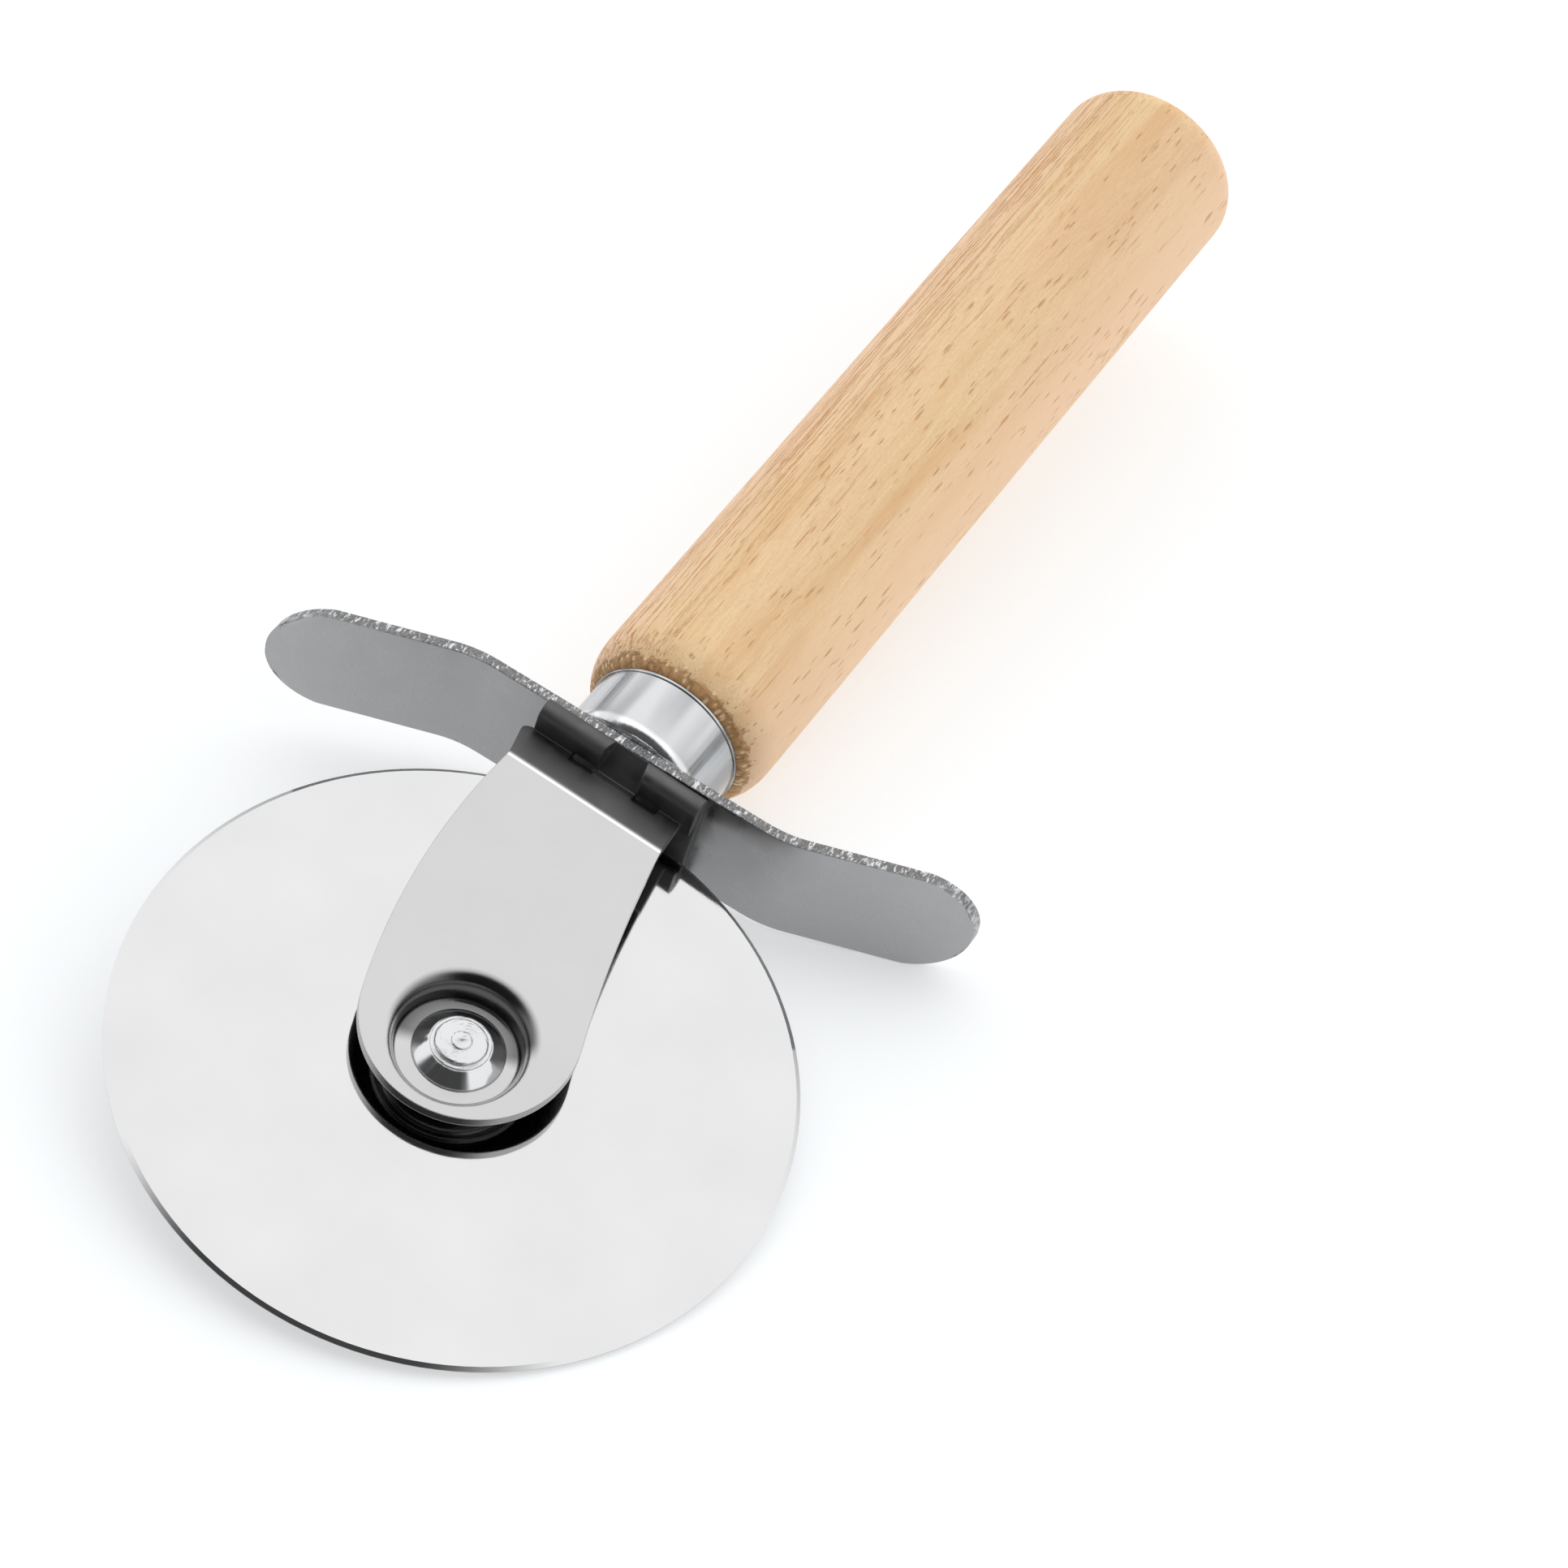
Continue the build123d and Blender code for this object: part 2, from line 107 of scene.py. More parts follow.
class Shading:
    """A node tree whose nodes are added and joined in short calls."""

    def __init__(self, tree):
        self.nodes = tree.nodes
        self.links = tree.links
        self.place = self.add("TexCoord")

    def add(self, kind, sockets=None, **settings):
        """A node with its settings, whose sockets take a value or another node's output."""
        node = self.nodes.new("ShaderNode" + kind)
        for name, value in settings.items():
            setattr(node, name, value)
        for key, value in (sockets or {}).items():
            self.feed(node.inputs[key], value)
        return node

    def feed(self, socket, value):
        """Joins an output to a socket, or sets the socket's value."""
        if isinstance(value, bpy.types.NodeSocket):
            self.links.new(value, socket)
        else:
            socket.default_value = value

    def math(self, operation, first, second=0.0):
        """A sum, product or other function of one or two values."""
        return self.add("Math", {0: first, 1: second}, operation=operation).outputs[0]

    def product(self, first, second):
        """One value times another."""
        return self.math("MULTIPLY", first, second)

    def vector(self, operation, first, second=(0.0, 0.0, 0.0)):
        """A function of one or two points, which is a point or a single value."""
        node = self.add("VectorMath", {0: first, 1: second}, operation=operation)
        return node.outputs["Value" if operation in ("LENGTH", "DOT_PRODUCT") else "Vector"]

    def parts(self, point):
        """The three coordinates of a point."""
        return self.add("SeparateXYZ", {0: point}).outputs

    def joined(self, first, second, third=0.0):
        """A point from its coordinates."""
        return self.add("CombineXYZ", {0: first, 1: second, 2: third}).outputs[0]

    def noise(self, point, scale=1.0, detail=2.0, roughness=0.5, distortion=0.0):
        """Soft random clouds, from 0 to 1."""
        settings = {0: point, "Scale": scale, "Detail": detail, "Roughness": roughness,
                    "Distortion": distortion}
        return self.add("TexNoise", settings).outputs[0]

    def cells(self, point, scale=1.0):
        """Distance to the nearest of many scattered points."""
        return self.add("TexVoronoi", {0: point, "Scale": scale}).outputs[0]

    def ramp(self, value, low, high, new_low=0.0, new_high=1.0, soft=False):
        """A value between low and high, spread over a new range and held inside it."""
        kind = "SMOOTHSTEP" if soft else "LINEAR"
        sockets = {0: value, 1: low, 2: high, 3: new_low, 4: new_high}
        return self.add("MapRange", sockets, interpolation_type=kind).outputs[0]

    def colours(self, share, first, second):
        """A colour between two others."""
        return self.add("Mix", {0: share, 6: first, 7: second}, data_type="RGBA").outputs[2]


class Finish(Shading):
    """A material that is laid out on its object in millimetres."""

    def __init__(self, name):
        self.material = bpy.data.materials.new(name)
        self.material.use_nodes = True
        super().__init__(self.material.node_tree)
        self.shader = self.nodes["Principled BSDF"]
        self.point = self.vector("MULTIPLY", self.place.outputs["Object"], (PER_METRE,) * 3)
        self.facing = self.place.outputs["Normal"]

    def set(self, **sockets):
        """Sets or joins sockets of the shader, named with underscores for spaces."""
        for name, value in sockets.items():
            self.feed(self.shader.inputs[name.replace("_", " ")], value)

    def scaled(self, scale, shift=(0.0, 0.0, 0.0), turn=(0.0, 0.0, 0.0)):
        """The point, moved and turned, then scaled along each axis."""
        moved = self.add("Mapping", {0: self.point, "Location": shift, "Rotation": turn})
        return self.vector("MULTIPLY", moved.outputs[0], scale)

    def relief(self, height, depth, strength=1.0, over=None):
        """Bump of a height from 0 to 1, as deep as depth in metres."""
        sockets = {"Height": height, "Distance": depth, "Strength": strength}
        if over is not None:
            sockets["Normal"] = over
        return self.add("Bump", sockets).outputs[0]

    def broken_edges(self, radius):
        """The surface's direction as if its sharp edges were broken to a small radius."""
        return self.add("Bevel", {"Radius": radius}, samples=6).outputs[0]

    def off_axle(self):
        """The three coordinates, counted from the middle of the wheel's axle."""
        return self.parts(self.vector("SUBTRACT", self.point, tuple(AXLE)))

    def axle_distance(self):
        """The distance from the wheel's axle."""
        off = self.off_axle()
        return self.vector("LENGTH", self.joined(off[0], off[1]))

    def axle_angle(self):
        """The angle round the wheel's axle."""
        off = self.off_axle()
        return self.math("ARCTAN2", off[1], off[0])

    def turning_lines(self, per_millimetre):
        """Fine lines round the axle, as a lathe or a buffing wheel leaves them."""
        across = self.product(self.axle_distance(), per_millimetre)
        return self.noise(self.joined(across, self.product(self.axle_angle(), 2.0)), detail=3.0)

    def handle_angle(self):
        """The angle round the handle's axis."""
        here = self.parts(self.point)
        return self.math("ARCTAN2", here[1], here[2])

    def brightened(self, colour, share):
        """A colour times a share, which is darker below 1 and brighter above it."""
        return self.add("VectorMath", {0: colour, "Scale": share}, operation="SCALE").outputs[0]

    def steel(self, colour, roughness, look, lightness=1.0):
        """Steel with cloudy patches and smudges that dull it a little. Gives back its colour."""
        cloud = self.noise(self.point, 0.06, detail=3.0)
        smudge = self.noise(self.point, 0.25, detail=5.0, roughness=0.6, distortion=0.6)
        tone = self.colours(self.ramp(cloud, 0.3, 0.7), rgb(colour, 1.0 - look.tone_change), rgb(colour))
        # The brightness factor carries the painted shade and painted highlights that a caller gives,
        # along with real tone
        polished = self.brightened(tone, lightness)
        dull = self.product(self.ramp(smudge, 0.35, 0.75, 1.0, 1.0 + look.smudges), roughness)
        self.set(Metallic=1.0, Base_Color=polished, Roughness=dull)
        return polished

    def apply(self, node):
        """Gives the finish to a node of the packed model."""
        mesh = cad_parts[node].data
        mesh.materials.clear()
        mesh.materials.append(self.material)
        for polygon in mesh.polygons:
            polygon.material_index = 0


def rgb(colour, factor=1.0):
    """An RGBA value from a colour property, made lighter or darker."""
    return (colour[0] * factor, colour[1] * factor, colour[2] * factor, 1.0)


# Settings


class CutterWood(bpy.types.PropertyGroup):
    """Wooden handle"""

    light: bpy.props.FloatVectorProperty(
        name="Light wood", description="Colour of the plain wood between the growth rings",
        subtype="COLOR", size=3, min=0.0, max=1.0, default=(0.89, 0.635, 0.355))
    warm: bpy.props.FloatVectorProperty(
        name="Warm wood", description="Colour of the broad darker streaks along the grain",
        subtype="COLOR", size=3, min=0.0, max=1.0, default=(0.79, 0.49, 0.235))
    pink: bpy.props.FloatVectorProperty(
        name="Pink wood", description="Colour of the flanks, where the wood is cut near its rays",
        subtype="COLOR", size=3, min=0.0, max=1.0, default=(0.90, 0.615, 0.40))
    pore: bpy.props.FloatVectorProperty(
        name="Pores", description="Colour inside the open pores",
        subtype="COLOR", size=3, min=0.0, max=1.0, default=(0.64, 0.295, 0.085))
    end: bpy.props.FloatVectorProperty(
        name="End grain", description="Colour of the rough cut end at the ferrule",
        subtype="COLOR", size=3, min=0.0, max=1.0, default=(0.44, 0.195, 0.05))
    pore_length: bpy.props.FloatProperty(
        name="Pore length", description="Usual length of a pore along the grain",
        unit="LENGTH", min=0.001, max=0.03, default=0.007)
    end_width: bpy.props.FloatProperty(
        name="Rough end", description="How far the rough end grain reaches back from the front",
        unit="LENGTH", min=0.0, max=0.01, default=0.0011)
    roughness: bpy.props.FloatProperty(
        name="Roughness", description="Roughness of the sanded surface",
        subtype="FACTOR", min=0.0, max=1.0, default=0.52)


class CutterSteel(bpy.types.PropertyGroup):
    """Steel and plated pieces"""

    blade: bpy.props.FloatVectorProperty(
        name="Blade", description="Colour of the mirror-polished blade",
        subtype="COLOR", size=3, min=0.0, max=1.0, default=(0.60, 0.60, 0.605))
    # Painted shade: the blade darkened between the fork's dishes
    blade_middle_shade: bpy.props.FloatProperty(
        name="Blade's middle", description="How much of the polish is left between the fork's dishes",
        subtype="FACTOR", min=0.0, max=1.0, default=0.3)
    fork: bpy.props.FloatVectorProperty(
        name="Fork", description="Colour of the polished fork",
        subtype="COLOR", size=3, min=0.0, max=1.0, default=(0.50, 0.50, 0.50))
    # Painted shade on the fork's faces towards the blade
    inside: bpy.props.FloatProperty(
        name="Fork's inside", description="How much of the polish is left on the faces towards the blade",
        subtype="FACTOR", min=0.0, max=1.0, default=0.12)
    # Painted brightening of the ears' faces towards the blade, close to the yoke
    inside_near_yoke: bpy.props.FloatProperty(
        name="Fork's inside at the yoke", description="Brightness of the ears' inside close to the yoke",
        subtype="FACTOR", min=0.0, max=2.0, default=1.6)
    # Painted shade on the fork from the shoulder to the guard
    yoke: bpy.props.FloatProperty(
        name="Fork's yoke", description="How much of the polish is left from the shoulder to the guard",
        subtype="FACTOR", min=0.0, max=1.0, default=0.25)
    # Painted highlight where the yoke begins
    yoke_highlight: bpy.props.FloatProperty(
        name="Fork's shoulder", description="Brightness of the thin line where the yoke begins",
        subtype="FACTOR", min=0.0, max=2.0, default=1.6)
    # Painted shade on the handle's side of each dish
    dish: bpy.props.FloatProperty(
        name="Fork's dish", description="How much of the polish is left on the handle's side of the dish",
        subtype="FACTOR", min=0.0, max=1.0, default=0.2)
    guard: bpy.props.FloatVectorProperty(
        name="Finger guard", description="Colour of the guard's broad faces",
        subtype="COLOR", size=3, min=0.0, max=1.0, default=(0.41, 0.41, 0.415))
    # Painted dark reflections streaked round the ferrule
    reflection_bands: bpy.props.FloatProperty(
        name="Ferrule's bands", description="Brightness of the dark drawing bands beside the rest",
        subtype="FACTOR", min=0.0, max=1.0, default=0.55)
    # Painted highlight at the ferrule's front edge
    lip_highlight: bpy.props.FloatProperty(
        name="Ferrule's lip", description="Brightness of the ferrule's front edge beside the rest",
        subtype="FACTOR", min=0.0, max=2.0, default=1.55)
    chrome: bpy.props.FloatVectorProperty(
        name="Plated pieces", description="Colour of the ferrule and the collars",
        subtype="COLOR", size=3, min=0.0, max=1.0, default=(0.60, 0.605, 0.615))
    blade_roughness: bpy.props.FloatProperty(
        name="Blade roughness", description="Roughness of the blade's faces",
        subtype="FACTOR", min=0.0, max=1.0, default=0.05)
    fork_roughness: bpy.props.FloatProperty(
        name="Fork roughness", description="Roughness of the fork's faces",
        subtype="FACTOR", min=0.0, max=1.0, default=0.16)
    yoke_roughness: bpy.props.FloatProperty(
        name="Yoke roughness", description="Roughness of the fork between the shoulder and the guard",
        subtype="FACTOR", min=0.0, max=1.0, default=0.42)
    guard_roughness: bpy.props.FloatProperty(
        name="Guard roughness", description="Roughness of the guard's broad faces",
        subtype="FACTOR", min=0.0, max=1.0, default=0.24)
    edge_round: bpy.props.FloatProperty(
        name="Broken edges", description="Radius that the sheet's edges seem to have",
        unit="LENGTH", min=0.0, max=0.001, default=0.0003)
    tone_change: bpy.props.FloatProperty(
        name="Cloudiness", description="How much darker the steel is in its cloudy patches",
        subtype="FACTOR", min=0.0, max=1.0, default=0.05)
    smudges: bpy.props.FloatProperty(
        name="Smudges", description="How much rougher the steel is where it was handled",
        subtype="FACTOR", min=0.0, max=2.0, default=0.6)


class CutterStudio(bpy.types.PropertyGroup):
    """Floor, light and camera"""

    floor_colour: bpy.props.FloatVectorProperty(
        name="Floor", description="Colour of the floor",
        subtype="COLOR", size=3, min=0.0, max=1.0, default=(0.575, 0.60, 0.62))
    floor_glow: bpy.props.FloatProperty(
        name="Floor glow", description="Light that the floor gives off by itself",
        min=0.0, max=2.0, default=0.45)
    floor_size: bpy.props.FloatProperty(
        name="Floor size", description="Length of the floor's sides",
        unit="LENGTH", min=1.0, max=40.0, default=20.0)
    floor_height: bpy.props.FloatProperty(
        name="Floor height", description="Place of the floor, counted from the handle's middle",
        unit="LENGTH", min=-0.1, max=0.0, default=-0.018)
    floor_slope: bpy.props.FloatVectorProperty(
        name="Floor direction", description="Direction square to the floor that the cutter rests on",
        subtype="DIRECTION", size=3, default=(0.08, 0.1373, 0.9873))
    tent: bpy.props.FloatProperty(
        name="Tent", description="Brightness of the white tent all round the cutter",
        min=0.0, max=5.0, default=1.4)
    horizon: bpy.props.FloatProperty(
        name="Horizon", description="Brightness of the tent near the floor, as a share of the rest",
        subtype="FACTOR", min=0.0, max=1.0, default=0.3)
    opening: bpy.props.FloatProperty(
        name="Opening", description="Brightness of the tent's open side, as a share of the rest",
        subtype="FACTOR", min=0.0, max=1.0, default=0.06)
    opening_side: bpy.props.FloatVectorProperty(
        name="Opening's side", description="Direction of the middle of the tent's open side",
        subtype="DIRECTION", size=3, default=(-0.82, -0.02, 0.57))
    opening_spread: bpy.props.FloatProperty(
        name="Opening's spread", description="Angle from the open side's middle to the full tent",
        subtype="ANGLE", min=0.0, max=radians(120.0), default=radians(58.0))
    lens: bpy.props.FloatProperty(
        name="Lens", description="Focal length of the camera",
        unit="CAMERA", min=20.0, max=300.0, default=123.06)
    camera_place: bpy.props.FloatVectorProperty(
        name="Camera place", description="Where the camera stands",
        subtype="TRANSLATION", unit="LENGTH", size=3, precision=4, default=(-0.45613, -0.12362, 0.54272))
    camera_turn: bpy.props.FloatVectorProperty(
        name="Camera turn", description="How the camera is turned",
        subtype="EULER", unit="ROTATION", size=3,
        default=(radians(35.1785), radians(-12.2496), radians(-57.9829)))


# Operators


class CUTTER_OT_blade(bpy.types.Operator):
    """Gives the blade its mirror-polished faces, with faint buffing lines and smudges, and painted shade
    on its middle between the fork's dishes
    """
    bl_idname = "cutter.blade"
    bl_label = "Blade"

    def execute(self, context):
        look = context.scene.cutter_steel
        finish = Finish("polished_blade")
        # Painted shade: the blade's middle, seen through the fork's dishes, is darkened
        lightness = finish.ramp(finish.axle_distance(), *BLADE_MIDDLE_SHADE, look.blade_middle_shade, 1.0)
        finish.steel(look.blade, look.blade_roughness, look, lightness)
        lines = finish.turning_lines(6.0)
        waves = finish.relief(finish.noise(finish.point, 0.05, detail=1.0), 0.00006)
        finish.set(Normal=finish.relief(lines, 0.0000012, over=waves))
        finish.apply("blade")
        return {"FINISHED"}


class CUTTER_OT_fork(bpy.types.Operator):
    """Gives the fork its polished sheet with broken edges and a rougher yoke, painted shade on the inside
    faces, the yoke and the dishes, and a painted highlight where the yoke begins
    """
    bl_idname = "cutter.fork"
    bl_label = "Fork"

    def execute(self, context):
        look = context.scene.cutter_steel
        finish = Finish("polished_sheet")
        along = finish.parts(finish.point)[0]
        past_start = finish.math("SUBTRACT", along, YOKE_START)
        # Painted shade over the yoke
        yoke = finish.ramp(past_start, *YOKE_EDGE, 1.0, look.yoke)
        # Painted highlight: a thin brighter strip where the yoke begins
        from_highlight = finish.math("ABSOLUTE", finish.math("SUBTRACT", past_start, SHOULDER_HIGHLIGHT))
        painted_highlight = finish.ramp(from_highlight, *SHOULDER_HIGHLIGHT_REACH, 1.0, look.yoke_highlight)
        # Painted shade on the faces towards the blade
        lightness = finish.product(finish.product(self.inside_shade(finish, look), yoke), painted_highlight)
        # Painted shade on the handle's side of each dish
        lightness = finish.product(lightness, self.dish_shade(finish, look))
        dullness = finish.ramp(past_start, *YOKE_EDGE, look.fork_roughness, look.yoke_roughness)
        finish.steel(look.fork, dullness, look, lightness)
        bowl = finish.ramp(finish.axle_distance(), *DISH_BOWL, soft=True)
        edges = finish.relief(bowl, 0.0005, over=finish.broken_edges(look.edge_round))
        rolling = finish.noise(finish.scaled((0.25, 9.0, 9.0)), detail=3.0)
        scratches = finish.noise(finish.scaled((0.12, 5.0, 5.0), turn=(0.0, 0.0, 0.35)))
        grain = finish.relief(rolling, 0.000003, over=edges)
        scored = finish.relief(finish.ramp(scratches, 0.72, 0.76), 0.000006, strength=0.6, over=grain)
        finish.set(Normal=scored)
        finish.apply("fork")
        return {"FINISHED"}

    def inside_shade(self, finish, look):
        """Painted shade on the faces towards the blade, which gives way close to the yoke to a painted
        brightening.
        """
        here = finish.parts(finish.point)
        outward = finish.product(finish.math("SIGN", here[2]), finish.parts(finish.facing)[2])
        past_axle = finish.math("SUBTRACT", here[0], AXLE.x)
        # Painted shade on the inside faces, turned to a painted brightening near the yoke
        inside = finish.ramp(past_axle, *INSIDE_SHADE_NEAR_YOKE, look.inside, look.inside_near_yoke, soft=True)
        return finish.ramp(outward, -0.35, 0.15, inside, 1.0)

    def dish_shade(self, finish, look):
        """Painted shade on the side of each dish towards the handle, over its wall and floor."""
        distance = finish.axle_distance()
        turned = finish.math("SUBTRACT", finish.axle_angle(), DISH_SHADED_SIDE)
        side = finish.ramp(finish.math("COSINE", turned), -0.15, 0.2, soft=True)
        wall = finish.ramp(distance, *DISH_WALL_SHADE, soft=True)
        floor = finish.ramp(distance, *DISH_FLOOR_SHADE, 0.8, 1.0, soft=True)
        cover = finish.product(finish.product(side, wall), floor)
        # Painted shade: the dish darkened where it is covered
        return finish.ramp(cover, 0.0, 1.0, 1.0, look.dish)


class CUTTER_OT_rivet(bpy.types.Operator):
    """Gives the rivet the swirl of its setting punch and the collars their turned, plated faces"""
    bl_idname = "cutter.rivet"
    bl_label = "Rivet and collars"

    def execute(self, context):
        look = context.scene.cutter_steel
        rivet = Finish("riveted_head")
        rivet.steel(look.chrome, 0.16, look)
        distance = rivet.axle_distance()
        turns = rivet.math("ADD", rivet.product(distance, 1.5), rivet.product(rivet.axle_angle(), 1.4))
        swirl = rivet.noise(rivet.joined(turns, distance), 1.2, detail=4.0)
        rivet.set(Normal=rivet.relief(swirl, 0.00022, over=rivet.broken_edges(look.edge_round)))
        rivet.apply("axle_rivet")
        collar = Finish("plated_collar")
        collar.steel(look.chrome, 0.08, look)
        facets = collar.noise(collar.joined(collar.product(collar.axle_angle(), 1.6), 0.0), detail=1.0)
        edges = collar.broken_edges(look.edge_round)
        lines = collar.relief(collar.turning_lines(5.0), 0.000005, over=edges)
        collar.set(Normal=collar.relief(facets, 0.00035, over=lines))
        collar.apply("front_collar")
        collar.apply("rear_collar")
        return {"FINISHED"}


class CUTTER_OT_guard(bpy.types.Operator):
    """Gives the finger guard satin faces and rough sheared edges"""
    bl_idname = "cutter.guard"
    bl_label = "Finger guard"

    def execute(self, context):
        look = context.scene.cutter_steel
        finish = Finish("satin_strip")
        facing = finish.parts(finish.facing)
        sheared = finish.ramp(finish.math("ABSOLUTE", facing[0]), 0.9, 0.7)
        crumbs = finish.noise(finish.scaled((0.9, 2.2, 2.2)), detail=4.0, roughness=0.7)
        torn = finish.product(finish.ramp(crumbs, 0.42, 0.58), sheared)
        lightness = finish.ramp(torn, 0.0, 1.0, 1.0, 0.45)
        satin = finish.steel(look.guard, look.guard_roughness, look, lightness)
        rough = finish.colours(torn, rgb(look.chrome), rgb(look.chrome, 0.35))
        finish.set(Base_Color=finish.colours(sheared, satin, rough))
        rolling = finish.noise(finish.scaled((6.0, 0.3, 6.0)), detail=3.0)
        grain = finish.relief(rolling, 0.000004)
        finish.set(Normal=finish.relief(torn, 0.00016, over=grain))
        strip = self.blanked_strip()
        strip.data.materials.append(finish.material)
        return {"FINISHED"}

    def blanked_strip(self):
        """The bent strip as it was blanked, with a full half round at each tip."""
        shape = bmesh.new()
        shape.from_mesh(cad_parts["finger_guard"].data)
        bmesh.ops.remove_doubles(shape, verts=shape.verts, dist=GUARD_SEAM / PER_METRE)
        strip = self.piece("guard_strip", shape)
        die = self.piece("blanking_die", self.die_shape())
        cut = strip.modifiers.new("Blank", "BOOLEAN")
        cut.operation = "INTERSECT"
        cut.solver = "EXACT"
        cut.object = die
        blank = strip.evaluated_get(bpy.context.evaluated_depsgraph_get())
        strip.data = bpy.data.meshes.new_from_object(blank)
        strip.modifiers.clear()
        bpy.data.objects.remove(die)
        if not strip.data.polygons:
            raise RuntimeError("The blanking die has left nothing of the guard")
        strip.data.materials.clear()
        strip.data.shade_smooth()
        strip.data.set_sharp_from_angle(angle=GUARD_SHARP)
        weighted = strip.modifiers.new("Flat faces", "WEIGHTED_NORMAL")
        weighted.keep_sharp = True
        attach(strip, "frame")
        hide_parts("finger_guard")
        return strip

    def piece(self, name, shape):
        """An object made from a bmesh, which is freed."""
        mesh = bpy.data.meshes.new(name)
        shape.to_mesh(mesh)
        shape.free()
        thing = bpy.data.objects.new(name, mesh)
        bpy.context.scene.collection.objects.link(thing)
        return thing

    def die_shape(self):
        """The outline with two half rounds that the strip is cut to, as a prism along the handle."""
        reach = GUARD_HIGH.y - GUARD_TRIM - GUARD_TIP_RADIUS
        shape = bmesh.new()
        corners = []
        for side in (1.0, -1.0):
            for step in range(GUARD_TIP_STEPS + 1):
                turn = pi * (step / GUARD_TIP_STEPS - 0.5)
                along = side * (reach + GUARD_TIP_RADIUS * cos(turn))
                across = side * GUARD_TIP_RADIUS * sin(turn)
                y = along * cos(GUARD_TURN) + across * sin(GUARD_TURN)
                z = across * cos(GUARD_TURN) - along * sin(GUARD_TURN)
                corner = Vector((GUARD_LOW.x - GUARD_TIP_RADIUS, y, z)) / PER_METRE
                corners.append(shape.verts.new(corner))
        face = shape.faces.new(corners)
        raised = bmesh.ops.extrude_face_region(shape, geom=[face])
        height = (GUARD_HIGH.x - GUARD_LOW.x + 2 * GUARD_TIP_RADIUS) / PER_METRE
        top = [part for part in raised["geom"] if isinstance(part, bmesh.types.BMVert)]
        bmesh.ops.translate(shape, vec=(height, 0.0, 0.0), verts=top)
        bmesh.ops.recalc_face_normals(shape, faces=shape.faces)
        return shape


class CUTTER_OT_ferrule(bpy.types.Operator):
    """Gives the ferrule its bright plating over the long marks of drawing, with painted dark reflections
    round it and a painted highlight at its front edge
    """
    bl_idname = "cutter.ferrule"
    bl_label = "Ferrule"

    def execute(self, context):
        look = context.scene.cutter_steel
        finish = Finish("drawn_cup")
        along = finish.parts(finish.point)[0]
        place = finish.joined(finish.product(along, 0.03), finish.product(finish.handle_angle(), 2.0))
        reflection_bands = finish.noise(place, detail=1.5)
        # Painted dark reflections streaked round the ferrule
        shade = finish.ramp(reflection_bands, 0.36, 0.62, look.reflection_bands, 0.95, soft=True)
        back = finish.math("SUBTRACT", along, FERRULE_LOW.x)
        # Painted highlight at the ferrule's front edge
        lip_highlight = finish.ramp(back, *FERRULE_LIP_HIGHLIGHT, look.lip_highlight, 1.0)
        finish.steel(look.chrome, 0.14, look, finish.product(shade, lip_highlight))
        drawing = finish.noise(finish.scaled((0.08, 1.6, 1.6)), detail=4.0)
        finish.set(Normal=finish.relief(drawing, 0.00003))
        finish.apply("ferrule")
        return {"FINISHED"}


